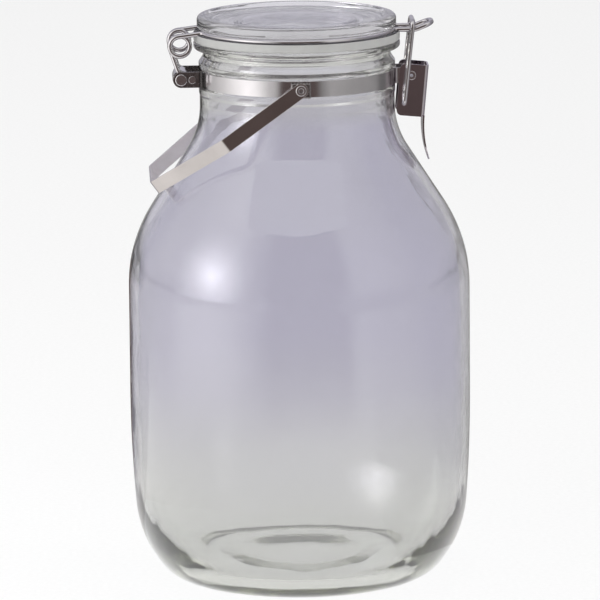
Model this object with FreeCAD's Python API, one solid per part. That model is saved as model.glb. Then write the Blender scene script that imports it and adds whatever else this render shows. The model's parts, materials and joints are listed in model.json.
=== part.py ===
"""Clip-top glass storage jar of about four litres, with a wire-hinged glass lid and a carry handle.

Units are millimetres.  The origin is on the jar's axis, on the surface that the jar stands on.
+Z is up, +X points at the toggle latch, -X at the lid hinge, and the handle pivots on the Y axis.
"""
import FreeCAD, Part

import os
from math import acos, asin, atan2, cos, degrees, hypot, radians, sin, sqrt, tan

from FreeCAD import Placement, Rotation, Vector

# ---- glass jar ---------------------------------------------------------------------------------
body_radius = 84.5            # outside of the widest, straight part of the body
straight_bottom = 92.0        # the straight part starts here
straight_top = 145.2          # and ends here, where the shoulder starts
belly_curve = 740.0           # long curve that starts to draw the body in
lower_top = 37.0              # the belly curve ends and the lower curve starts here
lower_curve = 55.0
heel_curve = 16.0             # round edge between the lower curve and the base
shoulder_curve = 76.0         # convex part of the shoulder
slope_length = 33.3           # straight slope between the shoulder and the throat
neck_radius = 48.0            # plain neck under the lower ridge
neck_bottom = 236.0           # the throat curve ends here
body_wall = 4.0
neck_wall = 4.6
base_thickness = 8.0
punt_depth = 4.0              # hollow under the base
punt_radius = 52.0
mouth_step = 6.0              # the clear bore of the rim is this far inside the plain neck

# ---- neck rings of the jar ---------------------------------------------------------------------
band_above = 14.0             # from the bottom of the neck to the band, the hinge pin and the latch pivot
band_height = 7.8
ridge_stand = 0.9             # how far each ridge stands out past the band's seat
ridge_height = 4.0
groove_depth = 1.8            # groove under the rim, measured from the neck
groove_slope = 1.9            # height of the slope down into the groove
seat_depth = 0.55             # the band's seat lies this far inside the plain neck
rim_stand = 2.8               # the round rim stands out past the plain neck by this
rim_above = 17.8              # from the middle of the band to the top of the rim
rim_height = 3.8
rim_round = 2.5               # round lower edge of the rim
rim_edge = 1.2                # round upper edge of the rim

# ---- lid and gasket ----------------------------------------------------------------------------
gasket_thickness = 2.2
gasket_inset = 0.3            # the gasket's edge lies this far inside the rim's
gasket_width = 7.6
seal_gap = 0.1                # between the gasket and the rim, closed by the latch on the real jar
lip_thickness = 1.4           # glass below the wire
lip_inset = 0.3
lip_round = 0.8
flange_overhang = 0.35        # the flange reaches this far past the wire in its groove
flange_inset = 1.8            # the rounded flange above the wire lies this far inside the rim
flange_height = 6.4
dish_depth = 1.8              # hollow in the top of the lid
dish_round = 4.0              # hollow curve between the dish and the flange
plug_play = 3.4               # round the ring under the lid that centres it in the mouth
plug_depth = 3.4
plug_width = 6.0
lid_middle = 5.4              # thickness of the glass in the middle

# ---- wires -------------------------------------------------------------------------------------
wire = 2.4                    # diameter of every wire
wire_fit = 0.05               # play of the lid wire in its groove
ring_bend = 2.6               # bend where the ring turns out into the nose and the hinge legs
nose_spacing = 14.2           # between the two wires of the nose
nose_bend_step = 2.4          # the nose turns up this far outside the latch pivot
nose_bend = 5.0
nose_rise = 21.4              # degrees
nose_end_step = 10.2          # and ends this far outside it
nose_corner = 4.6
coil_radius = 4.9             # centre line of the spring coil
coil_step = 0.4               # the coil lies this far outside the hinge pin
coil_above_pin = 16.6
coil_pitch = 2.55             # side step of the coil in one turn
eye_radius = 2.7              # centre line of the eye round the hinge pin
eye_turn = 260.0              # degrees
neck_length = 4.3             # from the pin to the bend where the leg meets its eye
neck_bend_radius = 2.0

# ---- neck band ---------------------------------------------------------------------------------
strip = 0.7                   # sheet thickness
band_play = 0.1               # between band and glass
fold_radius = 2.2             # centre line of the fold from band to ear
ear_round = 3.9               # end of every ear
hinge_stand = 8.95            # from the outside of the band to the hinge pin
hinge_ear_gap = 21.1          # between the inner faces of the hinge ears
latch_stand = 7.75            # from the outside of the band to the latch pivot
latch_ear_gap = 11.8

# ---- hinge hardware ----------------------------------------------------------------------------
running_fit = 0.06            # radial play of pins in what turns on them
seat_fit = 0.03               # radial play of pins in what stays still
side_play = 0.2               # play along a pin
head_play = 0.05              # under the head of a rivet that something turns on
head_rounding = 0.6           # share of a rivet head's height that is rounded off
spacer_radius = 4.1           # spacer tube between the hinge ears
hinge_head_radius = 2.9
head_height = 0.8
clamp_step = 5.5              # the rivet that pulls the hinge ears together lies this far inside the pin
clamp_radius = 1.2
clamp_head_radius = 1.9

# ---- toggle latch ------------------------------------------------------------------------------
lever_tilt = 5.3              # the closed lever leans in at the bottom by this angle
lever_sheet = 0.8
lever_back = 5.8              # from the pivot to the edge of the cheeks near the jar
lever_front = 8.2             # from the pivot to the outside of the web
lever_top = 5.5
lever_bottom = 20.2
lever_corner = 2.5
lever_fold = 2.0              # outside bend between web and cheeks
tab_length = 22.0             # thumb tab below the web
tab_reach = 4.6               # how far its end curves outwards
tab_width = 16.0
latch_pin_radius = 1.6
latch_pin_bore = 0.8
latch_head_radius = 2.2
latch_head = 0.45
latch_spacer_radius = 2.6
ear_play = 0.3                # between the ears and the cheeks
link_play = 0.4               # between the link and the pivot's heads
link_foot_back = 2.5          # the link's feet, measured from the latch pivot along the lever
link_foot_down = 14.0
link_foot_inside = 1.3        # how far the feet reach past the cheeks
link_bar_step = 0.8           # the bar that hooks over the nose lies this far outside the pivot
hook_gap = 1.65               # between the bar and the nose, taken up by the lid when clamped
link_corner = 2.8
link_foot_bend = 1.8

# ---- carry handle ------------------------------------------------------------------------------
handle_sheet = 1.0
handle_width = 7.0
handle_clearance = 0.7        # between the handle's arms and the rim of the jar
arm_length = 45.5             # from the pivot to the first bend
grip_distance = 87.3          # from the pivot to the grip
grip_length = 48.0
handle_bend = 5.0
grip_corner = 3.5
shoulder_gap = 2.6            # between the grip and the shoulder
lug_width = 9.6
lug_height = 7.5
washer_radius = 3.3
washer_height = 0.5
handle_pin_radius = 1.8
handle_pin_bore = 1.15
handle_head_radius = 2.6
handle_head = 0.7
lug_drop = 0.4                # the lug's middle lies below the pivot
lug_corner = 0.8
washer_play = 0.1             # on each side of the strap and of its washers

# ---- values worked out from the sizes above ----------------------------------------------------
UP = Vector(0, 0, 1)
ALONG_Y = Vector(0, 1, 0)
ORIGIN = Vector(0, 0, 0)
cut_past = 1.0                # cutting shapes run this far past what they cut

shoulder_across = neck_radius - body_radius + shoulder_curve
shoulder_rise = neck_bottom - straight_top
slope_square = shoulder_across ** 2 + shoulder_rise ** 2 - shoulder_curve ** 2 - slope_length ** 2
throat_curve = slope_square / (2 * (shoulder_curve - shoulder_across))   # concave part below the neck
mouth_radius = neck_radius - mouth_step
rim_radius = neck_radius + rim_stand
band_centre = neck_bottom + band_above
rim_top = band_centre + rim_above
CENTRE = Vector(0, 0, band_centre)

wire_radius = wire / 2
band_seat = neck_radius - seat_depth
band_radius = band_seat + band_play + strip / 2
band_outside = band_radius + strip / 2
hinge_x = band_outside + hinge_stand
clamp_x = hinge_x - clamp_step
coil_x = hinge_x + coil_step
latch_x = band_outside + latch_stand
nose_bend_x = latch_x + nose_bend_step
nose_end_x = latch_x + nose_end_step
link_bar_x = latch_x + link_bar_step
ridge_radius = band_seat + ridge_stand
band_low = band_centre - band_height / 2 - band_play
band_high = band_centre + band_height / 2 + band_play
groove_low = band_high + ridge_height
rim_low = rim_top - rim_height

gasket_low = rim_top + seal_gap
gasket_high = gasket_low + gasket_thickness
gasket_radius = rim_radius - gasket_inset
lip_top = gasket_high + lip_thickness
lip_radius = rim_radius - lip_inset
flange_radius = rim_radius - flange_inset
plug_radius = mouth_radius - plug_play
ring_height = lip_top + wire_fit + wire_radius
flange_low = ring_height + wire_radius + wire_fit
lid_top = flange_low + flange_height
groove_radius = flange_radius - flange_overhang - wire - wire_fit
ring_radius = groove_radius + wire_fit + wire_radius

hinge_pin_radius = eye_radius - wire_radius - running_fit
eye_offset = hinge_ear_gap / 2 - side_play - wire_radius
leg_offset = eye_offset + coil_pitch
spacer_length = 2 * (eye_offset - wire_radius - side_play)

cheek_inside = latch_ear_gap / 2 + strip + ear_play
cheek_outside = cheek_inside + lever_sheet
link_offset = cheek_outside + head_play + latch_head + link_play + wire_radius
bar_height = ring_height + wire + hook_gap

arm_inside = rim_radius + handle_clearance
lug_top = arm_inside - washer_height - 2 * washer_play


# ---- helpers -----------------------------------------------------------------------------------
def save(shape, name):
    """Write one finished node."""
    shape.removeSplitter().exportStep(os.path.join("parts", name + ".step"))


def cylinder(radius, length, start, direction=UP):
    return Part.makeCylinder(radius, length, start, direction)


def box_between(low, high):
    """Axis-parallel box from its lowest to its highest corner."""
    size = high - low
    return Part.makeBox(size.x, size.y, size.z, low)


def revolve(edges):
    """Turn a closed outline in the XZ plane round the jar's axis."""
    face = Part.Face(Part.Wire(Part.__sortEdges__(edges)))
    return face.revolve(ORIGIN, UP, 360)


def line(a, b):
    return Part.LineSegment(a, b).toShape()


def arc(a, middle, b):
    return Part.Arc(a, middle, b).toShape()


def flat(radius, height):
    """Point of an outline: distance from the axis, and height."""
    return Vector(radius, 0, height)


def on_circle(centre, radius, angle):
    """Point in the XZ plane at an angle in degrees from +X towards +Z."""
    return centre + Vector(radius * cos(radians(angle)), 0, radius * sin(radians(angle)))


def turn_arc(centre, radius, start, end):
    """Arc in the XZ plane between two angles in degrees."""
    ends = [on_circle(centre, radius, angle) for angle in (start, (start + end) / 2, end)]
    return arc(*ends)


def bent_path(points, radii):
    """Straight runs through the points, joined by tangent arcs, one radius for each inner point."""
    edges = []
    last = points[0]
    for before, corner, after, radius in zip(points, points[1:], points[2:], radii):
        come = (corner - before).normalize()
        leave = (after - corner).normalize()
        half_turn = come.getAngle(leave) / 2
        reach = radius * tan(half_turn)
        first = corner - come * reach
        second = corner + leave * reach
        bisector = (leave - come).normalize()
        middle = corner + bisector * (radius / cos(half_turn) - radius)
        if (first - last).Length > 1e-4:
            edges.append(line(last, first))
        edges.append(arc(first, middle, second))
        last = second
    edges.append(line(last, points[-1]))
    return edges


def loop_corners(centre, radius, start, turn, y_start, y_end, step=45.0):
    """Corners of the polygon round a coil: a bent path through them is the coil itself."""
    count = max(1, round(abs(turn) / step))
    each = turn / count
    corners = []
    for index in range(count):
        share = (index + 0.5) / count
        point = on_circle(centre, radius / cos(radians(each / 2)), start + each * (index + 0.5))
        corners.append(Vector(point.x, y_start + (y_end - y_start) * share, point.z))
    return corners


def sweep_wire(edges, radius=None):
    """Round wire along a path of edges that follow each other."""
    path = Part.Wire(edges)
    start = edges[0].valueAt(edges[0].FirstParameter)
    direction = edges[0].tangentAt(edges[0].FirstParameter)
    section = Part.Wire(Part.makeCircle(radius or wire_radius, start, direction))
    return path.makePipeShell([section], True, False)


def sweep_strip(edges, thickness, height):
    """Upright flat strip along a level path that starts along X."""
    start = edges[0].valueAt(edges[0].FirstParameter)
    side = ALONG_Y * (thickness / 2)
    rise = UP * (height / 2)
    corners = [start - side - rise, start + side - rise, start + side + rise, start - side + rise]
    section = Part.makePolygon(corners + corners[:1])
    return Part.Wire(edges).makePipeShell([section], True, False)


def outward_bend(radius, bend, offset, side, height):
    """Bend that turns the front half of a ring out along X: its end on the ring, middle and outer end."""
    y = -(offset + bend)
    centre = Vector(side * sqrt((radius + bend) ** 2 - y ** 2), y, height)
    inward = (flat(0, height) - centre).normalize()
    middle = (inward + ALONG_Y).normalize()
    return [centre + direction * bend for direction in (inward, middle, ALONG_Y)]


def mirrored(shape):
    """The same shape on the other side of the XZ plane."""
    return shape.mirror(ORIGIN, ALONG_Y)


def tube(outside, inside, y_low, y_high, centre):
    """Tube along Y between two values of y, round a point of the XZ plane."""
    start = Vector(centre.x, y_low, centre.z)
    length = y_high - y_low
    result = cylinder(outside, length, start, ALONG_Y)
    if inside > 0:
        result = result.cut(cylinder(inside, length, start, ALONG_Y))
    return result


def domed_head(radius, height, y_face, outwards, centre):
    """Low rivet head that stands on the plane y = y_face."""
    start = Vector(centre.x, y_face, centre.z)
    head = cylinder(radius, height, start, ALONG_Y * outwards)
    rim = [edge for edge in head.Edges if abs(edge.CenterOfMass.y - y_face) > height / 2
           and edge.Curve.TypeId == "Part::GeomCircle"]
    return head.makeFillet(height * head_rounding, rim)


# ---- jar ---------------------------------------------------------------------------------------
def shoulder_line():
    """Ends of the straight slope between the convex shoulder and the concave throat."""
    convex = flat(body_radius - shoulder_curve, straight_top)
    concave = flat(neck_radius + throat_curve, neck_bottom)
    between = concave - convex
    lean = degrees(atan2(between.z, between.x))
    angle = lean - degrees(acos((shoulder_curve + throat_curve) / between.Length))
    return on_circle(convex, shoulder_curve, angle), on_circle(concave, throat_curve, angle + 180), angle


def lower_arcs():
    """Heel, lower curve and belly, from the base up: centre, radius and the angles at both ends."""
    belly = flat(body_radius - belly_curve, straight_bottom)
    first = -degrees(asin((straight_bottom - lower_top) / belly_curve))
    lower = on_circle(belly, belly_curve - lower_curve, first)
    second = -degrees(asin((lower.z - heel_curve) / (lower_curve - heel_curve)))
    heel = on_circle(lower, lower_curve - heel_curve, second)
    return [(heel, heel_curve, -90, second), (lower, lower_curve, second, first),
            (belly, belly_curve, first, 0)]


def body_outline(inset):
    """Outline of the jar from heel to neck, moved in by a wall; also gives its first and last point."""
    slope_low, slope_high, slope_angle = shoulder_line()
    convex = flat(body_radius - shoulder_curve, straight_top)
    concave = flat(neck_radius + throat_curve, neck_bottom)
    normal = on_circle(ORIGIN, inset, slope_angle)
    arcs = lower_arcs()
    edges = [turn_arc(centre, radius - inset, start, end) for centre, radius, start, end in arcs] + [
        line(flat(body_radius - inset, straight_bottom), flat(body_radius - inset, straight_top)),
        turn_arc(convex, shoulder_curve - inset, 0, slope_angle),
        line(slope_low - normal, slope_high - normal),
        turn_arc(concave, throat_curve + inset, 180 + slope_angle, 180),
    ]
    heel_centre = arcs[0][0]
    return edges, on_circle(heel_centre, heel_curve - inset, -90), flat(neck_radius - inset, neck_bottom)


def glass_jar():
    """Blown jar with its band seat between two ridges, a groove and the round rim."""
    outside, base_ring, neck_start = body_outline(0)
    ridge_low = band_low - ridge_height
    ridge_middle = flat(ridge_radius, ridge_low + ridge_height / 2)
    upper_middle = flat(ridge_radius, band_high + ridge_height / 2)
    groove_bottom = neck_radius - groove_depth
    rim_under = flat(rim_radius - rim_round, rim_low)
    edge_centre = flat(rim_radius - rim_edge, rim_top - rim_edge)
    punt_curve = (punt_radius ** 2 + punt_depth ** 2) / (2 * punt_depth)
    punt_turn = degrees(asin(punt_radius / punt_curve))
    corners = [flat(neck_radius, groove_low), flat(groove_bottom, groove_low + groove_slope),
               flat(groove_bottom, rim_low), rim_under]
    edges = outside + [line(a, b) for a, b in zip(corners, corners[1:])] + [
        line(neck_start, flat(neck_radius, ridge_low)),
        arc(flat(neck_radius, ridge_low), ridge_middle, flat(neck_radius, band_low)),
        line(flat(neck_radius, band_low), flat(band_seat, band_low)),
        line(flat(band_seat, band_low), flat(band_seat, band_high)),
        line(flat(band_seat, band_high), flat(neck_radius, band_high)),
        arc(flat(neck_radius, band_high), upper_middle, flat(neck_radius, groove_low)),
        turn_arc(rim_under + UP * rim_round, rim_round, -90, 0),
        line(flat(rim_radius, rim_low + rim_round), flat(rim_radius, edge_centre.z)),
        turn_arc(edge_centre, rim_edge, 0, 90),
        line(flat(edge_centre.x, rim_top), flat(0, rim_top)),
        line(flat(0, rim_top), flat(0, punt_depth)),
        turn_arc(flat(0, punt_depth - punt_curve), punt_curve, 90, 90 - punt_turn),
        line(flat(punt_radius, 0), base_ring),
    ]
    return revolve(edges).cut(jar_hollow())


def jar_hollow():
    """Everything inside the jar: the body a wall in from the outside, the neck and the mouth."""
    inside, low, neck_start = body_outline(body_wall)
    neck_inside = neck_radius - neck_wall
    corners = [neck_start, flat(neck_inside, neck_start.z + neck_wall - body_wall),
               flat(neck_inside, groove_low), flat(mouth_radius, rim_low),
               flat(mouth_radius, rim_top + cut_past), flat(0, rim_top + cut_past), flat(0, low.z), low]
    hollow = revolve(inside + [line(a, b) for a, b in zip(corners, corners[1:])])
    hollow = hollow.cut(cylinder(body_radius, base_thickness, ORIGIN))
    floor = [edge for edge in hollow.Edges if abs(edge.BoundBox.ZMax - base_thickness) < 1e-3]
    return hollow.makeFillet(base_thickness / 2, floor)


# ---- lid ---------------------------------------------------------------------------------------
def glass_lid():
    """Pressed lid: dished top, round flange, wire groove, sealing lip and a ring that centres it."""
    flange_round = flange_height / 2
    flange_centre = flat(flange_radius - flange_round, lid_top - flange_round)
    dish = lid_top - dish_depth
    both = flange_round + dish_round
    reach = sqrt(both ** 2 - (both - dish_depth) ** 2)
    dish_centre = flat(flange_centre.x - reach, dish + dish_round)
    meet = -degrees(asin((both - dish_depth) / both))
    plug_low = gasket_high - plug_depth
    plug_in = plug_radius - plug_width
    underside = dish - lid_middle
    lip_centre = flat(lip_radius - lip_round, lip_top - lip_round)
    upper = [flat(flange_centre.x, flange_low), flat(groove_radius, flange_low),
             flat(groove_radius, lip_top), flat(lip_centre.x, lip_top)]
    lower = [flat(lip_radius, lip_centre.z), flat(lip_radius, gasket_high), flat(plug_radius, gasket_high),
             flat(plug_radius, plug_low), flat(plug_in, plug_low),
             flat(plug_in - (underside - plug_low), underside), flat(0, underside), flat(0, dish),
             flat(dish_centre.x, dish)]
    edges = [line(a, b) for corners in (upper, lower) for a, b in zip(corners, corners[1:])] + [
        turn_arc(dish_centre, dish_round, -90, meet),
        turn_arc(flange_centre, flange_round, 180 + meet, -90),
        turn_arc(lip_centre, lip_round, 90, 0),
    ]
    return revolve(edges)


def lid_gasket():
    """Flat silicone ring under the lip of the lid, with rounded edges."""
    ring = cylinder(gasket_radius, gasket_thickness, flat(0, gasket_low))
    ring = ring.cut(cylinder(gasket_radius - gasket_width, gasket_thickness, flat(0, gasket_low)))
    rims = [edge for edge in ring.Edges if edge.Curve.TypeId == "Part::GeomCircle"]
    return ring.makeFillet(gasket_thickness / 4, rims)


def hinge_leg_path():
    """Front eye, leg, spring coil and run to the ring, on the hinge side, with the bend radii."""
    pin = flat(-hinge_x, band_centre)
    coil = flat(-coil_x, band_centre + coil_above_pin)
    between = coil - pin
    lean = degrees(asin(coil_radius / between.Length) - atan2(between.x, between.z))
    neck = on_circle(pin, neck_length, 90 + lean)
    eye_start = 90 + lean - degrees(acos(eye_radius / neck_length)) - eye_turn
    eye = loop_corners(pin, eye_radius, eye_start, eye_turn, -eye_offset, -eye_offset)
    eye_end = on_circle(pin, eye_radius, eye_start)
    ring_exit = flat(outward_bend(ring_radius, ring_bend, leg_offset, -1, ring_height)[2].x, ring_height)
    to_exit = ring_exit - coil
    top = degrees(atan2(to_exit.z, to_exit.x)) + degrees(acos(coil_radius / to_exit.Length))
    coil_start = 180 + lean
    coils = loop_corners(coil, coil_radius, coil_start, top - 360 - coil_start, -eye_offset, -leg_offset)
    coil_end = on_circle(coil, coil_radius, top)
    shift = ALONG_Y * -1
    points = [eye_end + shift * eye_offset] + eye + [neck + shift * eye_offset] + coils
    points += [coil_end + shift * leg_offset, ring_exit + shift * leg_offset]
    snug = 0.999
    radii = [eye_radius * snug] * len(eye) + [neck_bend_radius] + [coil_radius * snug] * len(coils)
    return points, radii + [coil_radius]


def ring_front_path():
    """Front half of the ring, between the bends into the hinge leg and into the nose."""
    leg = outward_bend(ring_radius, ring_bend, leg_offset, -1, ring_height)
    nose = outward_bend(ring_radius, ring_bend, nose_spacing / 2, 1, ring_height)
    front = Vector(0, -ring_radius, ring_height)
    return [arc(*reversed(leg)), arc(leg[0], front, nose[0]), arc(*nose)]


def nose_path():
    """Front half of the nose, from the ring to the middle of its end."""
    half = nose_spacing / 2
    start = outward_bend(ring_radius, ring_bend, half, 1, ring_height)[2]
    bend = Vector(nose_bend_x, -half, ring_height)
    rise = (nose_end_x - nose_bend_x) * tan(radians(nose_rise))
    end = Vector(nose_end_x, -half, ring_height + rise)
    return bent_path([start, bend, end, Vector(end.x, 0, end.z)], [nose_bend, nose_corner])


def lid_wire():
    """One wire: two hinge eyes and coils, the ring in the lid's groove, and the latch nose."""
    points, radii = hinge_leg_path()
    half = sweep_wire(bent_path(points, radii) + ring_front_path() + nose_path())
    return half.fuse(mirrored(half)).removeSplitter()


# ---- neck band ---------------------------------------------------------------------------------
def band_half():
    """Front half of the neck band: a half ring with an ear folded out at each end."""
    hinge_y = hinge_ear_gap / 2 + strip / 2
    latch_y = latch_ear_gap / 2 + strip / 2
    hinge = outward_bend(band_radius, fold_radius, hinge_y, -1, band_centre)
    latch = outward_bend(band_radius, fold_radius, latch_y, 1, band_centre)
    band = sweep_strip([
        line(Vector(-hinge_x - ear_round, -hinge_y, band_centre), hinge[2]),
        arc(*reversed(hinge)),
        arc(hinge[0], Vector(0, -band_radius, band_centre), latch[0]),
        arc(*latch),
        line(latch[2], Vector(latch_x + ear_round, -latch_y, band_centre)),
    ], strip, band_height)
    band = band.cut(ear_trimming(-1, hinge_x)).cut(ear_trimming(1, latch_x))
    for x, radius in ((-hinge_x, hinge_pin_radius), (-clamp_x, clamp_radius), (latch_x, latch_pin_radius)):
        band = band.cut(tube(radius + seat_fit, 0, -body_radius, 0, flat(x, band_centre)))
    return band


def ear_trimming(side, pivot):
    """What is cut off the end of one ear to make it round."""
    low = Vector(min(side * pivot, side * (pivot + 2 * ear_round)), -body_radius, band_low - cut_past)
    block = box_between(low, Vector(low.x + 2 * ear_round, 0, band_high + cut_past))
    return block.cut(tube(ear_round, 0, -body_radius, 0, flat(side * pivot, band_centre)))


# ---- hinge and latch hardware ------------------------------------------------------------------
def headed_pin(shank, bore, head, height, half_length, centre):
    """Rivet along Y with a head at each end, hollow if it has a bore."""
    pin = tube(shank, 0, -half_length, half_length, centre)
    for outwards in (-1, 1):
        pin = pin.fuse(domed_head(head, height, outwards * half_length, outwards, centre))
    if bore > 0:
        pin = pin.cut(tube(bore, 0, -half_length - height, half_length + height, centre))
    return pin


def hinge_rivet():
    half = hinge_ear_gap / 2 + strip + head_play
    centre = flat(-hinge_x, band_centre)
    return headed_pin(hinge_pin_radius, 0, hinge_head_radius, head_height, half, centre)


def hinge_spacer():
    half = spacer_length / 2
    return tube(spacer_radius, hinge_pin_radius + seat_fit, -half, half, flat(-hinge_x, band_centre))


def hinge_clamp_rivet():
    half = hinge_ear_gap / 2 + strip
    centre = flat(-clamp_x, band_centre)
    return headed_pin(clamp_radius, 0, clamp_head_radius, head_height / 2, half, centre)


def latch_rivet():
    half = cheek_outside + head_play
    centre = flat(latch_x, band_centre)
    return headed_pin(latch_pin_radius, latch_pin_bore, latch_head_radius, latch_head, half, centre)


def latch_spacer():
    half = latch_ear_gap / 2
    return tube(latch_spacer_radius, latch_pin_radius + seat_fit, -half, half, flat(latch_x, band_centre))


# ---- toggle lever and link ---------------------------------------------------------------------
def lever_place():
    """Placement of the closed lever: its own origin is the pivot."""
    return Placement(flat(latch_x, band_centre), Rotation(ALONG_Y, lever_tilt))


def link_foot():
    """The link's lower pivot."""
    return lever_place().multVec(flat(-link_foot_back, -link_foot_down))


def latch_lever():
    """Channel of folded sheet, open towards the jar, with a curved thumb tab below its web."""
    size = Vector(lever_front + lever_back, 2 * cheek_outside, lever_top + lever_bottom)
    outer = Part.makeBox(size.x, size.y, size.z, Vector(-lever_back, -cheek_outside, -lever_bottom))
    folds = [edge for edge in outer.Edges if abs(edge.CenterOfMass.x - lever_front) < 1e-3
             and edge.BoundBox.ZLength > size.z / 2]
    outer = outer.makeFillet(lever_fold, folds)
    inner = Part.makeBox(size.x - lever_sheet, 2 * cheek_inside, size.z,
                         Vector(-lever_back, -cheek_inside, -lever_bottom))
    folds = [edge for edge in inner.Edges if abs(edge.CenterOfMass.x - (lever_front - lever_sheet)) < 1e-3
             and edge.BoundBox.ZLength > size.z / 2]
    inner = inner.makeFillet(lever_fold - lever_sheet, folds)
    channel = outer.cut(inner)
    corners = [edge for edge in channel.Edges if abs(edge.CenterOfMass.x + lever_back) < 1e-3
               and edge.BoundBox.YLength > lever_sheet / 2]
    channel = channel.makeFillet(lever_corner, corners)
    lever = channel.fuse(thumb_tab())
    foot = flat(-link_foot_back, -link_foot_down)
    for centre, radius in ((ORIGIN, latch_pin_radius), (foot, wire_radius)):
        lever = lever.cut(tube(radius + running_fit, 0, -size.y, size.y, centre))
    lever.Placement = lever_place()
    return lever


def thumb_tab():
    """Curved strip that carries the web on below the channel, with a round end."""
    curve = (tab_length ** 2 + tab_reach ** 2) / (2 * tab_reach)
    centre = flat(lever_front + curve, -lever_bottom + lever_sheet)
    turn = degrees(asin(tab_length / curve))
    faces = [turn_arc(centre, radius, 180, 180 + turn) for radius in (curve, curve + lever_sheet)]
    ends = [line(*[face.valueAt(at) for face in faces]) for at in (0, radians(turn))]
    tab = Part.Face(Part.Wire(Part.__sortEdges__(faces + ends))).extrude(ALONG_Y * tab_width)
    tab.translate(ALONG_Y * (-tab_width / 2))
    round_z = -lever_bottom - tab_length + tab_width / 2
    keep = cylinder(tab_width / 2, 2 * lever_front, flat(0, round_z), Vector(1, 0, 0))
    above = box_between(Vector(0, -tab_width, round_z), Vector(2 * lever_front, tab_width, 0))
    return tab.common(keep.fuse(above))


def latch_link():
    """Wire loop: its bar hooks over the nose and its feet turn into the cheeks of the lever."""
    foot = link_foot()
    inside = cheek_inside - link_foot_inside
    points = [
        Vector(foot.x, -inside, foot.z),
        Vector(foot.x, -link_offset, foot.z),
        Vector(link_bar_x, -link_offset, bar_height),
        Vector(link_bar_x, 0, bar_height),
    ]
    half = sweep_wire(bent_path(points, [link_foot_bend, link_corner]))
    return half.fuse(mirrored(half)).removeSplitter()


# ---- carry handle ------------------------------------------------------------------------------
def handle_rest_angle():
    """Angle below level, in degrees, at which the grip comes to rest on the shoulder of the jar."""
    slope_low, _, slope_angle = shoulder_line()
    far = grip_distance + handle_sheet / 2
    reach = hypot(far, handle_width / 2)
    lead = degrees(atan2(handle_width / 2, far))
    normal = on_circle(ORIGIN, 1, slope_angle)
    stand_off = normal.dot(slope_low - CENTRE) + shoulder_gap
    return degrees(acos(stand_off / reach)) - slope_angle - lead


def handle_strap():
    """Flat steel strip bent to a U, with a round end and a hole at each pivot."""
    middle_y = arm_inside + handle_sheet / 2
    start = Vector(handle_width / 2, -middle_y, 0)
    corners = [start, Vector(-arm_length, -middle_y, 0), Vector(-grip_distance, -grip_length / 2, 0),
               Vector(-grip_distance, 0, 0)]
    half = sweep_strip(bent_path(corners, [handle_bend, grip_corner]), handle_sheet, handle_width)
    block = box_between(Vector(0, -body_radius, -handle_width), Vector(handle_width, 0, handle_width))
    half = half.cut(block.cut(tube(handle_width / 2, 0, -body_radius, 0, ORIGIN)))
    half = half.cut(tube(handle_pin_radius + running_fit, 0, -body_radius, 0, ORIGIN))
    strap = half.fuse(mirrored(half)).removeSplitter()
    strap.Placement = Placement(CENTRE, Rotation(ALONG_Y, -handle_rest_angle()))
    return strap


def handle_lug():
    """Block on the front of the band that carries one handle rivet clear of the glass."""
    low = Vector(-lug_width / 2, -lug_top, band_centre - lug_height / 2 - lug_drop)
    block = box_between(low, Vector(lug_width / 2, 0, low.z + lug_height))
    front_edges = [edge for edge in block.Edges if abs(edge.CenterOfMass.y + lug_top) < 1e-3]
    block = block.makeFillet(lug_corner, front_edges)
    block = block.cut(cylinder(band_outside, 2 * lug_height, flat(0, low.z - lug_height / 2)))
    return block.cut(tube(handle_pin_radius + seat_fit, 0, -body_radius, 0, CENTRE))


def handle_washer():
    outside = -(arm_inside - washer_play)
    inside = handle_pin_radius + seat_fit
    return tube(washer_radius, inside, outside, outside + washer_height, CENTRE)


def handle_rivet():
    """Hollow rivet in the front lug, with a rolled head outside the strap."""
    outside = arm_inside + handle_sheet + washer_play
    shank = tube(handle_pin_radius, 0, -outside, -band_outside - side_play, CENTRE)
    head = domed_head(handle_head_radius, handle_head, -outside, -1, CENTRE)
    bore = tube(handle_pin_bore, 0, -outside - handle_head, -band_outside - handle_head, CENTRE)
    return shank.fuse(head).cut(bore)


def main():
    os.makedirs("parts", exist_ok=True)
    save(glass_jar(), "glass_jar")
    save(glass_lid(), "glass_lid")
    save(lid_gasket(), "lid_gasket")
    save(lid_wire(), "lid_wire")
    save(hinge_rivet(), "hinge_rivet")
    save(hinge_spacer(), "hinge_spacer")
    save(hinge_clamp_rivet(), "hinge_clamp_rivet")
    save(latch_rivet(), "latch_rivet")
    save(latch_spacer(), "latch_spacer")
    save(latch_lever(), "latch_lever")
    save(latch_link(), "latch_link")
    save(handle_strap(), "handle_strap")
    for build, name in ((band_half, "neck_band"), (handle_lug, "handle_lug"),
                        (handle_washer, "handle_washer"), (handle_rivet, "handle_rivet")):
        front = build()
        save(front, name + "_front")
        save(mirrored(front), name + "_back")


main()
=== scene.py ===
"""Looks of the clip-top glass canister: hollow glass, polished steel and the studio that they mirror.

The object's lengths are in millimetres and meet MM where they reach the scene; the studio's are in metres.
"""
import json
from math import acos, asin, atan2, cos, degrees, hypot, pi, radians, sin, tan

import bpy
import bmesh
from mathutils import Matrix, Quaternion, Vector, noise

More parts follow.
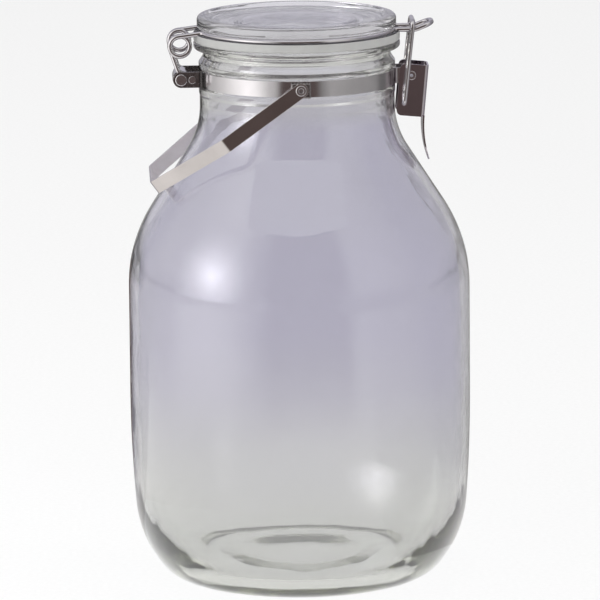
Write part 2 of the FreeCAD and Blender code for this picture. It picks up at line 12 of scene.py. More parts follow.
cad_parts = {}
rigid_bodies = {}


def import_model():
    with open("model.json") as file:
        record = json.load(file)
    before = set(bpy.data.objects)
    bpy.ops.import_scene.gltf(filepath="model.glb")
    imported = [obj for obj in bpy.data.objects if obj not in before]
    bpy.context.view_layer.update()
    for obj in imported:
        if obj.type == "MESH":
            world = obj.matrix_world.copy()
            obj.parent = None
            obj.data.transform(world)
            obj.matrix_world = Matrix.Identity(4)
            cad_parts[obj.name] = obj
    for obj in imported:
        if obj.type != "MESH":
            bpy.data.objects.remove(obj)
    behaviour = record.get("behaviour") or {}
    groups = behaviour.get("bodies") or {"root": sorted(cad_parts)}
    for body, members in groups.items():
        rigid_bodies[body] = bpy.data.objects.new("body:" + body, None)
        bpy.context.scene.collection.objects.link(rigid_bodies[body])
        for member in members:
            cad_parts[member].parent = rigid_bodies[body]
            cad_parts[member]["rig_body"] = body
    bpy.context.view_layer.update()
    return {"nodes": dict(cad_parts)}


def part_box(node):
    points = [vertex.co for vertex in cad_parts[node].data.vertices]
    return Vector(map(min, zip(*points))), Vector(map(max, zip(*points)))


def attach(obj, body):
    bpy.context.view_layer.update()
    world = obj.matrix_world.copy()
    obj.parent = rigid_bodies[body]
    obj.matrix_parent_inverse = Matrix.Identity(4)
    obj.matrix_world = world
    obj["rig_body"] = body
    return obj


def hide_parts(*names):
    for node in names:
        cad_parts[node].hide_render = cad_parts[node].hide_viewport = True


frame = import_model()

MM = 0.001
NODES = frame["nodes"]

# sockets of a colour Mix node, whose names are shared with its other types
MIX_A, MIX_B, MIX_RESULT = 6, 7, 2
NOISE_RANGE = (0.3, 0.7)      # most of what a noise texture gives lies between these
TINTED_HEIGHT = 0.3           # metres; the glass's tints, the jar's painted light among them, are set between the table and this height

# ---- glass jar, outside -------------------------------------------------------------------------
body_radius = 84.5            # widest, straight part of the body
straight_bottom = 92.0
straight_top = 145.2
belly_curve = 740.0           # long curve that starts to draw the body in
lower_top = 37.0              # the belly curve ends and the lower curve starts here
lower_curve = 55.0
heel_curve = 16.0
shoulder_curve = 76.0
throat_curve = 40.0
neck_radius = 48.0
neck_bottom = 236.0
ridge = 48.35                 # radius of the two ridges beside the band
band_seat = 47.45
groove = 46.2                 # radius of the groove under the rim
rim_radius = 50.8
rim_bottom = 264.0
rim_top = 267.8

# ---- glass jar, inside --------------------------------------------------------------------------
body_wall = 4.0
inner_throat_top = 230.5      # the body's inner wall runs up to here
inner_neck = 43.4
mouth = 42.0                  # clear radius of the rim
gather_top = 48.0             # below this height the glass gathers towards the base
gather_span = 39.0
gathered = 5.5                # extra thickness where the span ends
bowl_top = 13.6               # the inner wall turns into the floor's round edge here
bowl_curve = 17.7
bowl_centre = 53.45
floor_height = 8.0

# ---- unevenness of the blown wall ---------------------------------------------------------------
wobble_top = 235.0            # none above this height
wobble_fade = 40.0            # full this far below it
wobble_depth = 0.35
wobble_round = 1.6            # one turn round the jar follows a circle of this radius in the noise
wobble_up = 0.018             # way through the noise for each millimetre of height

# ---- lid and gasket -----------------------------------------------------------------------------
lip_bottom = 270.1
lip_top = 271.5
lip_radius = 50.5
wire_groove = 46.2
flange_bottom = 274.0
flange_radius = 49.0
lid_top = 280.4
dish_depth = 1.8
lid_ceiling = 273.2           # underside of the lid's middle
plug_bottom = 266.8           # ring that centres the lid in the mouth
plug_radius = 38.6
plug_bore = 32.6
gasket_bottom = 267.9
gasket_top = 270.05
gasket_bore = 42.9
gasket_edge = 50.75
skirt_top = 272.0             # thin skirt that hugs the edge of the lip
skirt_bore = 50.52

# ---- steel --------------------------------------------------------------------------------------
ear_start = -50.5             # the hinge ears lie beyond this place along X and are painted with shade
fold_start = -44.9            # and their folds, painted with a near-black reflection, between this place and the ears
rounding_angle = 35.0         # degrees; sharper edges of the sheet are rounded over

# ---- studio, metres -----------------------------------------------------------------------------
jar_middle = Vector((0, 0, 0.14))
card_height = 0.0005          # of the cards over the floor, and the foot of the standing ones
shade_start = 0.088           # the side shades start here, close to the jar
table_start = 0.2
table_edge = 0.85
far_edge = 1.35               # the table's tones have turned into the paper's here
wall_radius = 2.4
wall_top = 2.9
horizon_radius = 1.7
horizon_top = 0.12
lamp_side = -65               # azimuth of the lamp and its umbrella, degrees
umbrella_rise = 11.4          # elevation of the umbrella, degrees


# ---- material helpers ---------------------------------------------------------------------------
def new_material(name):
    material = bpy.data.materials.new(name)
    material.use_nodes = True
    tree = material.node_tree
    shader = tree.nodes["Principled BSDF"]
    return material, tree, shader


def fill(node, **values):
    """Set a node's inputs by name, with _ for a space."""
    for key, value in values.items():
        node.inputs[key.replace("_", " ")].default_value = value


def add(tree, kind, **values):
    """Add a node and set its plain properties and its inputs by name."""
    node = tree.nodes.new(kind)
    for key, value in values.items():
        if hasattr(node, key):
            setattr(node, key, value)
        else:
            fill(node, **{key: value})
    return node


def object_noise(tree, scale, detail=3.0, stretch=(1, 1, 1)):
    """Noise in the object's own space, stretched along chosen axes."""
    place = add(tree, "ShaderNodeTexCoord")
    mapping = add(tree, "ShaderNodeMapping", Scale=stretch)
    texture = add(tree, "ShaderNodeTexNoise", Scale=scale, Detail=detail)
    tree.links.new(place.outputs["Object"], mapping.inputs["Vector"])
    tree.links.new(mapping.outputs["Vector"], texture.inputs["Vector"])
    return texture.outputs[0]


def remap(tree, source, start, end, low=0.0, high=1.0, curve="LINEAR"):
    """Map a value's range from start to end to another range."""
    node = add(tree, "ShaderNodeMapRange", interpolation_type=curve)
    fill(node, From_Min=start, From_Max=end, To_Min=low, To_Max=high)
    tree.links.new(source, node.inputs["Value"])
    return node.outputs[0]


def mixed(tree, factor, color_a, color_b):
    """Blend of two colours, each of them a plain colour or another node's output."""
    node = add(tree, "ShaderNodeMix", data_type="RGBA")
    tree.links.new(factor, node.inputs[0])
    for socket, color in ((MIX_A, color_a), (MIX_B, color_b)):
        if isinstance(color, tuple):
            node.inputs[socket].default_value = color + (1,)
        else:
            tree.links.new(color, node.inputs[socket])
    return node.outputs[MIX_RESULT]


def color_ramp(tree, share, stops, interpolation="LINEAR"):
    """Colours along a value; stops are (share from 0 to 1, colour)."""
    node = add(tree, "ShaderNodeValToRGB")
    ramp = node.color_ramp
    ramp.interpolation = interpolation
    tree.links.new(share, node.inputs[0])
    while len(ramp.elements) < len(stops):
        ramp.elements.new(0.5)
    for element, (position, color) in zip(ramp.elements, stops):
        element.position = position
        element.color = color + (1,)
    return node.outputs[0]


def bump(tree, shader, height, strength, distance):
    node = add(tree, "ShaderNodeBump", Strength=strength, Distance=distance)
    tree.links.new(height, node.inputs["Height"])
    tree.links.new(node.outputs["Normal"], shader.inputs["Normal"])


def cloudy_color(tree, shader, cloud, dark_color, color):
    """Base colour that drifts between two tones with a noise."""
    share = remap(tree, cloud, *NOISE_RANGE)
    tree.links.new(mixed(tree, share, dark_color, color), shader.inputs["Base Color"])


def shade(color, share):
    return tuple(share * part for part in color)


def object_axes(tree):
    """The place on the object: a vector output, and a node that splits it into X, Y and Z."""
    place = add(tree, "ShaderNodeTexCoord")
    split = add(tree, "ShaderNodeSeparateXYZ")
    tree.links.new(place.outputs["Object"], split.inputs[0])
    return place.outputs["Object"], split


# ---- materials of the object --------------------------------------------------------------------
def glass(name, tints, painted_outline_shade, ripple, absorbed, density, coat):
    """Clear glass with the slow ripple of a blown wall; thick stretches turn grey-green, and the outlines get
    painted shade.

    tints are (height in metres, colour) from the table up, and a lighter tint at one height is painted light.
    The coat stands in for the second reflection of a wall's two faces.
    """
    outline_start, outline_end = 0.84, 0.97
    wave_scale, wave_depth = 38.0, 0.004
    material, tree, shader = new_material(name)
    fill(shader, Transmission_Weight=1.0, Roughness=0.0, IOR=1.5, Coat_Weight=coat, Coat_Roughness=0.0)
    _, split = object_axes(tree)
    height = remap(tree, split.outputs["Z"], 0.0, TINTED_HEIGHT)
    tint = color_ramp(tree, height, [(up / TINTED_HEIGHT, color) for up, color in tints])
    # painted shade: the base colour darkens towards the outline colour where the surface turns away from the
    # view
    facing = add(tree, "ShaderNodeLayerWeight", Blend=0.5)
    outline = remap(tree, facing.outputs["Facing"], outline_start, outline_end)
    tree.links.new(mixed(tree, outline, tint, painted_outline_shade), shader.inputs["Base Color"])
    waves = object_noise(tree, wave_scale, 2.0, (1.0, 1.0, 0.55))
    bump(tree, shader, waves, ripple, wave_depth)
    inside = add(tree, "ShaderNodeVolumeAbsorption", Color=absorbed + (1,), Density=density)
    tree.links.new(inside.outputs[0], tree.nodes["Material Output"].inputs["Volume"])
    return material


def steel(name, color, roughness, grain, scratches, metallic=1.0):
    """Polished stainless steel: smeared reflections, drawing marks and small changes of tone."""
    cloud_scale, mark_scale, mark_depth = 55.0, 700.0, 0.0002
    material, tree, shader = new_material(name)
    shader.inputs["Metallic"].default_value = metallic
    cloudy_color(tree, shader, object_noise(tree, cloud_scale, 4.0), shade(color, 0.86), color)
    marks = object_noise(tree, mark_scale, 3.0, grain)
    tree.links.new(remap(tree, marks, *NOISE_RANGE, roughness * 0.7, roughness * 1.4),
                   shader.inputs["Roughness"])
    bump(tree, shader, marks, scratches, mark_depth)
    return material


def silicone(name, color):
    """Translucent milky rubber with a fine matte skin."""
    cloud_scale, skin_scale, skin_depth = 160.0, 2400.0, 0.0001
    material, tree, shader = new_material(name)
    fill(shader, Roughness=0.35, Transmission_Weight=0.25, IOR=1.41)
    cloudy_color(tree, shader, object_noise(tree, cloud_scale), shade(color, 0.92), color)
    bump(tree, shader, object_noise(tree, skin_scale, 2.0), 0.15, skin_depth)
    return material


# ---- outlines -----------------------------------------------------------------------------------
def on_circle(centre, radius, angle):
    return (centre[0] + radius * cos(radians(angle)), centre[1] + radius * sin(radians(angle)))


def turn_arc(centre, radius, start, end, step):
    """Points on an arc between two angles in degrees, both ends included."""
    count = max(2, round(abs(end - start) / step))
    return [on_circle(centre, radius, start + (end - start) * i / count) for i in range(count + 1)]


def rounded(corners, step=7.0, guard=0.12):
    """Corner points (r, z, rounding radius) to a smooth outline.

    A rounding takes less than half of each side, and guard points beside it keep the flats flat.
    """
    most_of_side, room_for_guard = 0.49, 0.45
    points = [corners[0][:2]]
    for before, corner, after in zip(corners, corners[1:], corners[2:]):
        radius = corner[2] if len(corner) > 2 else 0
        come = Vector((corner[0] - before[0], corner[1] - before[1]))
        leave = Vector((after[0] - corner[0], after[1] - corner[1]))
        turn = come.angle(leave)
        if radius <= 0 or turn < 0.01:
            points.append(corner[:2])
            continue
        reach = min(radius * tan(turn / 2), most_of_side * come.length, most_of_side * leave.length)
        true_radius = reach / tan(turn / 2)
        first = Vector(corner[:2]) - come.normalized() * reach
        last = Vector(corner[:2]) + leave.normalized() * reach
        inward = (leave.normalized() - come.normalized()).normalized()
        centre = Vector(corner[:2]) + inward * (true_radius / cos(turn / 2))
        count = max(2, round(degrees(turn) / step))
        side = 1 if come.x * leave.y - come.y * leave.x > 0 else -1
        spoke = first - centre
        if room_for_guard * come.length - reach > guard:
            points.append(tuple(first - come.normalized() * guard))
        for i in range(count + 1):
            a = side * turn * i / count
            points.append((centre.x + spoke.x * cos(a) - spoke.y * sin(a),
                           centre.y + spoke.x * sin(a) + spoke.y * cos(a)))
        if room_for_guard * leave.length - reach > guard:
            points.append(tuple(last + leave.normalized() * guard))
    points.append(corners[-1][:2])
    return points


def thinned(points, least=0.02):
    """The points without those that lie almost on the one before."""
    kept = [points[0]]
    for point in points[1:]:
        if hypot(point[0] - kept[-1][0], point[1] - kept[-1][1]) > least:
            kept.append(point)
    return kept


# ---- solids of revolution -----------------------------------------------------------------------
def new_piece(name, bm, smooth=True):
    """Object made from a mesh in the making, linked to the scene."""
    mesh = bpy.data.meshes.new(name)
    bm.to_mesh(mesh)
    bm.free()
    if smooth:
        mesh.polygons.foreach_set("use_smooth", [True] * len(mesh.polygons))
    piece = bpy.data.objects.new(name, mesh)
    bpy.context.scene.collection.objects.link(piece)
    return piece


def revolve(name, profile, around=256, wobble=None):
    """Closed solid of revolution; the profile runs from the axis to the axis."""
    bm = bmesh.new()
    rings = []
    for r, z in thinned(profile):
        if r < 1e-6:
            rings.append([bm.verts.new((0, 0, z * MM))])
            continue
        ring = []
        for i in range(around):
            a = 2 * pi * i / around
            radius = r + (wobble(z, a) if wobble else 0)
            ring.append(bm.verts.new((radius * cos(a) * MM, radius * sin(a) * MM, z * MM)))
        rings.append(ring)
    for low, high in zip(rings, rings[1:]):
        for i in range(around):
            j = (i + 1) % around
            if len(low) == 1:
                bm.faces.new((low[0], high[j], high[i]))
            elif len(high) == 1:
                bm.faces.new((low[i], low[j], high[0]))
            else:
                bm.faces.new((low[i], low[j], high[j], high[i]))
    return new_piece(name, bm)


def ring_solid(name, profile, around=192):
    """Closed ring; the profile ends where it starts and doesn't touch the axis."""
    profile = thinned(profile)[:-1]
    bm = bmesh.new()
    rings = [[bm.verts.new((r * cos(2 * pi * i / around) * MM, r * sin(2 * pi * i / around) * MM, z * MM))
              for r, z in profile] for i in range(around)]
    for i in range(around):
        here, there = rings[i], rings[(i + 1) % around]
        for k in range(len(profile)):
            m = (k + 1) % len(profile)
            bm.faces.new((here[k], there[k], there[m], here[m]))
    bmesh.ops.recalc_face_normals(bm, faces=bm.faces)
    return new_piece(name, bm)


# ---- glass and gasket ---------------------------------------------------------------------------
def body_points(inset):
    """Outline of the body from heel to neck, moved in by a wall."""
    belly = (body_radius - belly_curve, straight_bottom)
    first = -degrees(asin((straight_bottom - lower_top) / belly_curve))
    lower = on_circle(belly, belly_curve - lower_curve, first)
    second = -degrees(asin((lower[1] - heel_curve) / (lower_curve - heel_curve)))
    heel = on_circle(lower, lower_curve - heel_curve, second)
    convex = (body_radius - shoulder_curve, straight_top)
    concave = (neck_radius + throat_curve, neck_bottom)
    across, up = concave[0] - convex[0], concave[1] - convex[1]
    slope = degrees(atan2(up, across)) - degrees(acos((shoulder_curve + throat_curve) / hypot(across, up)))
    return (turn_arc(heel, heel_curve - inset, -90, second, 6)
            + turn_arc(lower, lower_curve - inset, second, first, 2)
            + turn_arc(belly, belly_curve - inset, first, 0, 0.5)
            + turn_arc(convex, shoulder_curve - inset, 0, slope, 2)
            + turn_arc(concave, throat_curve + inset, 180 + slope, 180, 2))


def thick_corner(point):
    """Glass gathers where the wall runs into the base."""
    r, z = point
    low = max(0.0, gather_top - z) / gather_span
    return (r - gathered * low ** 2, z)


def jar_wobble(z, a):
    """Waves of a blown wall, the same inside and outside, and none near the rim."""
    if z > wobble_top:
        return 0.0
    fade = min(1.0, (wobble_top - z) / wobble_fade)
    wave = noise.noise(Vector((cos(a) * wobble_round, sin(a) * wobble_round, z * wobble_up)))
    return -abs(wave) * wobble_depth * fade


def jar():
    """The hollow jar; each outline point is (radius, height) or (radius, height, rounding)."""
    under_base = [(0.0, 3.9), (6.0, 3.8), (9.0, 3.5), (23.0, 0.9), (27.0, 0.3), (31.0, 0.08), (35.0, 0.1),
                  (43.0, 1.75), (45.0, 1.8), (49.5, 1.2), (53.0, 0.02)]
    neck = rounded([
        (neck_radius, neck_bottom), (neck_radius, 241.2, 1.0), (ridge, 242.6, 0.9), (ridge, 245.0, 0.7),
        (band_seat, 246.2, 0.3), (band_seat, 253.9, 0.3), (ridge, 255.0, 0.7), (ridge, 257.4, 0.9),
        (47.6, 258.4, 0.8), (groove, 260.6, 1.2), (groove, rim_bottom, 0.6), (48.6, rim_bottom, 0.6),
        (rim_radius, 264.4, 2.2), (rim_radius, rim_top, 1.2), (inner_neck, rim_top, 1.2),
        (mouth, 266.0, 2.0), (mouth, 262.0, 2.5), (inner_neck, 255.0, 3.0), (inner_neck, 237.0, 4.0),
        (43.9, 234.0)])
    inner_wall = [thick_corner(point) for point in reversed(body_points(body_wall))
                  if bowl_top < point[1] < inner_throat_top]
    bowl = turn_arc((bowl_centre, floor_height + bowl_curve), bowl_curve, -45, -90, 4)
    flat = [(36.0, floor_height), (16.0, floor_height), (0.0, floor_height)]
    return revolve("jar_glass", under_base + body_points(0) + neck + inner_wall + bowl + flat,
                   wobble=jar_wobble)


def lid():
    """The dished lid with its wire groove, sealing lip and centring ring."""
    dish = lid_top - dish_depth
    return revolve("lid_glass", rounded([
        (0.0, lid_ceiling), (28.0, lid_ceiling, 3.0), (plug_bore, plug_bottom, 1.2),
        (plug_radius, plug_bottom, 1.4), (plug_radius, lip_bottom, 0.4), (lip_radius, lip_bottom, 0.4),
        (lip_radius, lip_top, 0.8), (wire_groove, lip_top, 0.4), (wire_groove, flange_bottom, 0.4),
        (flange_radius, flange_bottom, 2.8), (flange_radius, lid_top, 3.1), (44.6, lid_top, 3.4),
        (41.0, dish, 4.0), (0.0, dish)]))


def gasket():
    """Silicone ring under the lid, with its thin skirt."""
    return ring_solid("gasket", rounded([
        (gasket_bore, gasket_bottom), (gasket_edge, gasket_bottom, 0.7), (gasket_edge, skirt_top, 0.2),
        (skirt_bore, skirt_top), (skirt_bore, gasket_top), (gasket_bore, gasket_top, 0.5),
        (gasket_bore, gasket_bottom)]))


def dress_glass():
    """Put the glass and the gasket in place of the frame's plain solids."""
    # The body's lavender is the glass's own tint; the lighter tints at the foot and the rim are painted
    # light.
    foot_painted_light, body = (0.785, 0.785, 0.785), (0.712, 0.700, 0.784)
    neck, rim_painted_light = (0.75, 0.745, 0.76), (0.87, 0.87, 0.86)
    jar_tints_and_painted_light = [(0.045, foot_painted_light), (0.105, body), (0.228, body), (0.238, neck), (0.250, neck), (0.262, rim_painted_light)]
    # the jar's outlines get a dark painted shade
    jar_glass = glass("clear_glass_jar", jar_tints_and_painted_light, (0.25, 0.24, 0.26), ripple=0.10,
                      absorbed=(0.60, 0.62, 0.50), density=24.0, coat=1.0)
    lid_tint = (0.75, 0.74, 0.79)
    # the lid's outlines get a lighter painted shade
    lid_glass = glass("clear_glass_lid", [(0.0, lid_tint), (TINTED_HEIGHT, lid_tint)], (0.50, 0.49, 0.51),
                      ripple=0.06, absorbed=(0.60, 0.60, 0.56), density=7.0, coat=0.0)
    rubber = silicone("gasket_silicone", (0.60, 0.60, 0.585))
    for piece, node, body_name, slot, look in (
            (jar(), "glass_jar", "jar", "jar_glass", jar_glass),
            (lid(), "glass_lid", "lid", "lid_glass", lid_glass),
            (gasket(), "lid_gasket", "lid", "gasket_silicone", rubber)):
        paint(piece, look)
        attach(piece, body_name)
        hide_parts(node)
        if node == "glass_jar":
            piece.visible_shadow = False
            piece.visible_diffuse = False


# ---- steel --------------------------------------------------------------------------------------
def paint(piece, material):
    piece.data.materials.clear()
    piece.data.materials.append(material)


def softened(node, width):
    """Copy of a steel sub-part with its sheet edges rounded over, as tumbled pressings have them."""
    flat_angle, sharp_corner = radians(0.5), 1e-6
    name = node.name
    mesh = node.data.copy()
    bm = bmesh.new()
    bm.from_mesh(mesh)
    bmesh.ops.remove_doubles(bm, verts=bm.verts, dist=sharp_corner)
    bmesh.ops.dissolve_limit(bm, angle_limit=flat_angle, verts=bm.verts, edges=bm.edges)
    bm.to_mesh(mesh)
    bm.free()
    mesh.polygons.foreach_set("use_smooth", [True] * len(mesh.polygons))
    piece = bpy.data.objects.new(name + "_finished", mesh)
    bpy.context.scene.collection.objects.link(piece)
    edge = piece.modifiers.new("edge", "BEVEL")
    edge.width = width
    edge.segments = 2
    edge.limit_method = "ANGLE"
    edge.angle_limit = radians(rounding_angle)
    normal = piece.modifiers.new("normal", "WEIGHTED_NORMAL")
    normal.weight = 100
    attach(piece, node["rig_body"])
    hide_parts(name)
    return piece


def brushed_inside(strap):
    """The strap's inner faces keep the mill's brushed finish; its edges stay polished."""
    edge_on = 0.9
    strap.data.materials.append(
        steel("brushed_steel", (0.88, 0.84, 0.86), 0.50, (0.2, 0.2, 1), 0.05, metallic=0.75))
    low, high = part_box("handle_strap")
    middle = Vector([(a + b) / 2 for a, b in zip(low, high)])
    for face in strap.data.polygons:
        outward = face.center - middle
        if face.normal.x * outward.x + face.normal.y * outward.y < 0 and abs(face.normal.z) < edge_on:
            face.material_index = 1


def paint_shade_on_ears(band, ear_shade_paint, fold_reflection_paint):
    """The hinge ears get painted shade, a darker steel, and the folds that lead to them a near-black painted
    reflection.
    """
    band.data.materials.append(ear_shade_paint)
    band.data.materials.append(fold_reflection_paint)
    for face in band.data.polygons:
        if face.center.x < ear_start * MM:
            face.material_index = 1
        elif face.center.x < fold_start * MM:
            face.material_index = 2


def dress_nodes():
    """Finish every steel sub-part: the sheets and handle rivets as softened copies, the rest as they are."""
    band = steel("band_steel", (0.74, 0.72, 0.73), 0.13, (1, 1, 8), 0.02)
    wire = steel("wire_steel", (0.66, 0.64, 0.65), 0.12, (3, 3, 3), 0.03)
    lever = steel("lever_steel", (0.62, 0.57, 0.60), 0.11, (1, 1, 0.15), 0.015)
    handle = steel("handle_steel", (0.68, 0.64, 0.62), 0.10, (0.2, 0.2, 1), 0.015)
    hardware = steel("hardware_steel", (0.74, 0.72, 0.73), 0.15, (1, 1, 1), 0.03)
    # painted shade: a darker copy of the hardware steel for the hinge ears and the handle lugs
    painted_shade_steel = steel("painted_shade_lug_steel", (0.34, 0.32, 0.32), 0.24, (1, 1, 1), 0.03)
    # painted reflection: near-black steel for the folds beside the hinge ears, standing for the dark ears
    # they mirror
    painted_fold_reflection = steel("fold_painted_reflection_steel", (0.07, 0.065, 0.065), 0.24, (1, 1, 1), 0.03)
    sheets = {"latch_lever": (lever, "lever_steel", 0.22), "handle_strap": (handle, "handle_steel", 0.22),
              "neck_band_front": (band, "band_steel", 0.15), "neck_band_back": (band, "band_steel", 0.15),
              "handle_rivet_front": (hardware, "hardware_steel", 0.5),
              "handle_rivet_back": (hardware, "hardware_steel", 0.5)}
    for name, (look, slot, width) in sheets.items():
        piece = softened(NODES[name], width * MM)
        paint(piece, look)
        if name == "handle_strap":
            brushed_inside(piece)
        if name.startswith("neck_band"):
            paint_shade_on_ears(piece, painted_shade_steel, painted_fold_reflection)
    # the handle lugs get the steel with painted shade
    others = {"lid_wire": wire, "latch_link": wire, "handle_lug_front": painted_shade_steel, "handle_lug_back": painted_shade_steel}
    for name, node in NODES.items():
        paint(node, others.get(name, hardware))


# ---- studio -------------------------------------------------------------------------------------
def direction(azimuth, elevation):
    """Unit vector; azimuth 0 is towards the camera side (-Y) and 90 is +X."""
    a, e = radians(azimuth), radians(elevation)
    return Vector((sin(a) * cos(e), -cos(a) * cos(e), sin(e)))


def facing_turn(place, target, axis):
    """Rotation that turns an axis of a thing at a place towards a target."""
    return (Vector(target) - Vector(place)).to_track_quat(axis, "Y").to_euler()


def reflections_only(piece):
    piece.visible_camera = False
    piece.visible_transmission = False
    piece.visible_diffuse = False
    piece.visible_shadow = False


def refractions_only(piece):
    """For a card that reflections_only has hidden already."""
    piece.visible_glossy = False
    piece.visible_transmission = True


def floor():
    """Round sheet of white paper under the jar, in rings that widen outwards."""
    around = 96
    bm = bmesh.new()
    rings = []
    for radius in (0.25, 0.6, 1.2, 2.5, 5.0, 9.0):
        rings.append([bm.verts.new((radius * cos(2 * pi * i / around), radius * sin(2 * pi * i / around), 0))
                      for i in range(around)])
    bm.faces.new(rings[0])
    for low, high in zip(rings, rings[1:]):
        for i in range(around):
            j = (i + 1) % around
            bm.faces.new((low[i], high[i], high[j], low[j]))
    bmesh.ops.recalc_face_normals(bm, faces=bm.faces)
    piece = new_piece("floor", bm, smooth=False)
    piece.location.z = -0.0003
    material, tree, shader = new_material("floor_paper")
    fill(shader, Roughness=0.9, Specular_IOR_Level=0.1)
    cloudy_color(tree, shader, object_noise(tree, 400.0), (0.90, 0.90, 0.90), (0.93, 0.93, 0.93))
    piece.data.materials.append(material)


def round_light(name, place, target, size, power):
    """Disc lamp that lights the scene but is mirrored nowhere."""
    data = bpy.data.lights.new(name, "AREA")
    data.shape = "DISK"
    data.size = size
    data.energy = power
    lamp = bpy.data.objects.new(name, data)
    lamp.location = place
    lamp.rotation_euler = facing_turn(place, target, "-Z")
    lamp.visible_glossy = False
    lamp.visible_transmission = False
    bpy.context.scene.collection.objects.link(lamp)


def soft_spot(name, place, target, radius, strength, power):
    """Round card whose glow fades from its middle to its edge, for reflections only."""
    bm = bmesh.new()
    bmesh.ops.create_circle(bm, cap_ends=True, segments=64, radius=radius)
    card = new_piece(name, bm, smooth=False)
    card.location = place
    card.rotation_euler = facing_turn(place, target, "Z")
    material, tree, shader = new_material(name)
    tree.nodes.remove(shader)
    spot = add(tree, "ShaderNodeTexCoord")
    size = add(tree, "ShaderNodeMapping", Scale=(1 / radius, 1 / radius, 1))
    falloff = add(tree, "ShaderNodeTexGradient", gradient_type="SPHERICAL")
    shape = add(tree, "ShaderNodeMath", operation="POWER")
    shape.inputs[1].default_value = power
    glow = add(tree, "ShaderNodeMath", operation="MULTIPLY")
    glow.inputs[1].default_value = strength
    emit = add(tree, "ShaderNodeEmission")
    clear = add(tree, "ShaderNodeBsdfTransparent")
    both = add(tree, "ShaderNodeAddShader")
    tree.links.new(spot.outputs["Object"], size.inputs["Vector"])
    tree.links.new(size.outputs["Vector"], falloff.inputs["Vector"])
    tree.links.new(falloff.outputs[1], shape.inputs[0])
    tree.links.new(shape.outputs[0], glow.inputs[0])
    tree.links.new(glow.outputs[0], emit.inputs["Strength"])
    tree.links.new(emit.outputs[0], both.inputs[0])
    tree.links.new(clear.outputs[0], both.inputs[1])
    tree.links.new(both.outputs[0], tree.nodes["Material Output"].inputs["Surface"])
    card.data.materials.append(material)
    reflections_only(card)
    return card


def emission(name, strength):
    """Material that only glows."""
    material, tree, shader = new_material(name)
    fill(shader, Base_Color=(0, 0, 0, 1), Specular_IOR_Level=0, Emission_Strength=strength)
    return material, tree, shader


def azimuth_ramp(tree, share, stops, peak):
    """Colour that changes round the studio: stops are (azimuth, colour) from -180 to 180 degrees."""
    return color_ramp(tree, share, [((azimuth + 180) / 360, tuple(part / peak for part in color))
                                    for azimuth, color in stops])


def azimuth_glow(name, stops, fade=None):
    """Emission that changes round the studio.

    fade is (way, start, end, other stops): along the radius or the height, the glow has the other stops up to
    the start and its own from the end on.
    """
    all_stops = stops + fade[3] if fade else stops
    peak = max(max(color) for azimuth, color in all_stops)
    material, tree, shader = emission(name, peak)
    place, split = object_axes(tree)
    flip = add(tree, "ShaderNodeMath", operation="MULTIPLY")
    flip.inputs[1].default_value = -1
    angle = add(tree, "ShaderNodeMath", operation="ARCTAN2")
    tree.links.new(split.outputs["Y"], flip.inputs[0])
    tree.links.new(split.outputs["X"], angle.inputs[0])
    tree.links.new(flip.outputs[0], angle.inputs[1])
    share = remap(tree, angle.outputs[0], -pi, pi)
    glow = azimuth_ramp(tree, share, stops, peak)
    if fade:
        way, start, end, other_stops = fade
        reach = add(tree, "ShaderNodeVectorMath", operation="LENGTH")
        tree.links.new(place, reach.inputs[0])
        distance = reach.outputs["Value"] if way == "radius" else split.outputs["Z"]
        blend = remap(tree, distance, start, end, curve="SMOOTHSTEP")
        glow = mixed(tree, blend, azimuth_ramp(tree, share, other_stops, peak), glow)
    tree.links.new(glow, shader.inputs["Emission Color"])
    return material


def height_glow(name, top):
    """Emission that sinks from white to grey and rises again between the floor and a height."""
    material, tree, shader = emission(name, 1.0)
    _, split = object_axes(tree)
    share = remap(tree, split.outputs["Z"], 0.0, top)
    stops = [(up, (tone, tone * 0.99, tone * 0.98)) for up, tone in ((0, 0.9), (0.5, 0.30), (1, 0.95))]
    tree.links.new(color_ramp(tree, share, stops, "EASE"), shader.inputs["Emission Color"])
    return material


def swept_card(name, outline, material, start=-180, end=180, step=3):
    """Surface swept about the jar's axis from (radius, height) points, for reflections only."""
    steps = max(2, round((end - start) / step))
    verts, faces = [], []
    for i in range(steps + 1):
        azimuth = start + (end - start) * i / steps
        for radius, height in outline:
            out = direction(azimuth, 0) * radius
            verts.append((out.x, out.y, height))
    count = len(outline)
    for i in range(steps):
        for k in range(count - 1):
            a, b = count * i + k, count * (i + 1) + k
            faces.append((a, b, b + 1, a + 1))
    mesh = bpy.data.meshes.new(name)
    mesh.from_pydata(verts, [], faces)
    mesh.materials.append(material)
    card = bpy.data.objects.new(name, mesh)
    bpy.context.scene.collection.objects.link(card)
    reflections_only(card)
    return card


def level(value):
    """Nearly neutral grey of a given brightness, a touch warm."""
    return (value, value * 0.985, value * 0.98)


def even(color):
    """Stops of one colour all round."""
    return [(-180, color), (180, color)]


def over_floor(start, end):
    """Outline of a card that lies just over the floor."""
    return [(start, card_height), (end, card_height)]


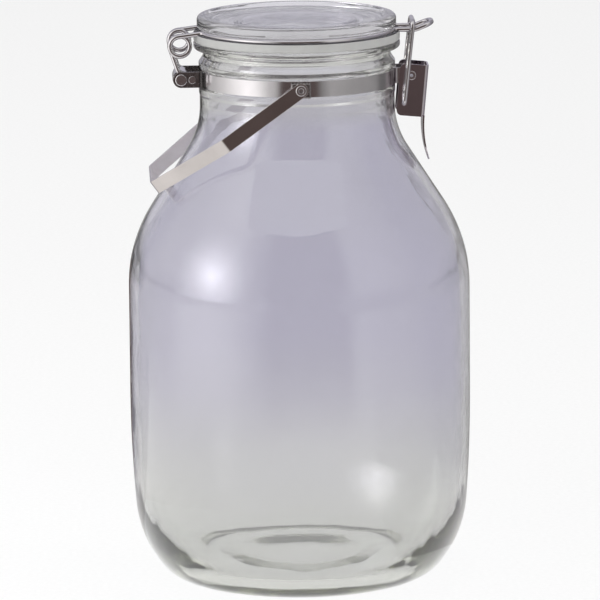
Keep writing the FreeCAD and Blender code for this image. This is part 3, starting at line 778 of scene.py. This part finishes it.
def surroundings():
    """What the glass and steel mirror: white to the left, dark behind the camera, grey to the right."""
    dark, black, grey = (0.115, 0.088, 0.085), (0.02, 0.018, 0.018), level(0.33)
    lavender, cool = (0.50, 0.49, 0.56), (0.33, 0.32, 0.37)
    wall = [(-180, lavender), (-130, lavender), (-110, level(0.9)), (-95, level(1.1)), (-82, level(1.4)),
            (-65, level(1.6)), (-50, level(1.4)), (-38, level(0.9)), (-29, level(0.5)), (-20, dark),
            (27, dark), (37, level(0.8)), (55, level(0.75)), (72, level(0.55)), (90, cool), (112, cool),
            (150, grey), (160, lavender), (180, lavender)]
    paper = [(-180, grey), (-168, grey), (-164, black), (-136, black), (-127, level(0.55)),
             (-112, level(0.62)), (-97, level(0.82)), (-78, level(1.25)), (-62, level(1.43)),
             (-50, level(1.25)), (-36, level(0.75)), (-26, level(0.58)), (-20, dark), (20, dark),
             (27, level(0.30)), (38, level(0.45)), (70, level(0.4)), (102, grey), (113, level(0.17)),
             (137, level(0.17)), (145, level(0.40)), (154, level(0.28)), (170, level(0.20)), (176, grey),
             (180, grey)]
    table = [(-118, level(0.6)), (-95, level(0.95)), (-82, level(1.55)), (-62, level(1.8)),
             (-48, level(1.5)), (-38, level(1.0)), (-29, level(0.5)), (-20, dark), (27, dark),
             (37, level(0.8)), (45, level(0.75))]
    shade_left = [(-176, dark), (-162, dark), (-145, cool), (-118, level(0.6))]
    shade_right = [(45, level(0.75)), (72, level(0.55)), (92, cool), (115, cool), (140, grey), (176, grey)]
    all_round = shade_left[:-1] + table + shade_right[1:]

    swept_card("studio_wall", [(wall_radius, card_height), (wall_radius, wall_top)],
               azimuth_glow("studio_wall", wall, ("height", 0.0, 0.5, paper)))
    swept_card("back_ceiling", [(0.3, wall_top), (wall_radius, wall_top)],
               azimuth_glow("back_ceiling", even(lavender)), 100, 260)
    swept_card("studio_surround", over_floor(table_edge, wall_radius),
               azimuth_glow("studio_surround", paper, ("radius", table_edge, far_edge, all_round)))
    swept_card("studio_table", over_floor(table_start, table_edge),
               azimuth_glow("studio_table", table, ("radius", 0.35, 0.75, even(level(0.95)))), -118, 45)
    side = azimuth_glow("side_shade", shade_left + shade_right, ("radius", 0.09, 0.32, even(level(0.8))))
    for name, start, end in (("side_shade_left", -180, -118), ("side_shade_right", 45, 180)):
        swept_card(name, over_floor(shade_start, table_edge), side, start, end)
    dusk = height_glow("dusky_horizon", horizon_top)
    for name, start, end in (("dusky_horizon_left", -170, -95), ("dusky_horizon_right", 95, 166)):
        refractions_only(swept_card(
            name, [(horizon_radius, card_height), (horizon_radius, horizon_top)], dusk, start, end))


def studio():
    """White room, one round lamp high on the left and its umbrella, and the cards round the jar."""
    world = bpy.data.worlds.new("studio")
    bpy.context.scene.world = world
    world.use_nodes = True
    fill(world.node_tree.nodes["Background"], Color=(1.0, 1.0, 1.0, 1), Strength=0.97)
    round_light("round_key", jar_middle + direction(lamp_side, 30) * 2.0, jar_middle, size=1.4, power=10)
    out = direction(lamp_side, umbrella_rise)
    soft_spot("umbrella", jar_middle + out * 1.9, jar_middle, radius=0.95, strength=0.8, power=2.4)
    refractions_only(soft_spot(
        "umbrella_halo", jar_middle + out * 1.85, jar_middle, radius=1.3, strength=9.5, power=2.4))
    surroundings()
    cycles = bpy.context.scene.cycles
    cycles.max_bounces = 40
    cycles.glossy_bounces = 24
    cycles.transmission_bounces = 40


def camera():
    """Camera 10.9 degrees above level, a little to the hinge side and slightly rolled."""
    distance, elevation, yaw, roll = 2.8, radians(10.88), radians(2.15), radians(0.6)
    half_width = 148.74 * MM      # of the view, at the jar
    aside = 0.34706 * MM          # the camera aims this far right of the jar's middle
    below = 2.77648 * MM          # and this far below it
    back = Vector((-sin(yaw) * cos(elevation), -cos(yaw) * cos(elevation), sin(elevation)))
    right = Vector((cos(yaw), -sin(yaw), 0))
    up = back.cross(right)
    aim = jar_middle + right * aside - up * below
    data = bpy.data.cameras.new("camera")
    data.sensor_fit = "HORIZONTAL"
    data.angle = 2 * atan2(half_width, distance)
    data.clip_end = 50
    view = bpy.data.objects.new("camera", data)
    view.location = aim + back * distance
    view.rotation_mode = "QUATERNION"
    view.rotation_quaternion = Quaternion(back, -roll) @ (-back).to_track_quat("-Z", "Y")
    bpy.context.scene.collection.objects.link(view)
    bpy.context.scene.camera = view


dress_nodes()
dress_glass()
floor()
studio()
camera()
bpy.context.scene.view_settings.view_transform = "Standard"
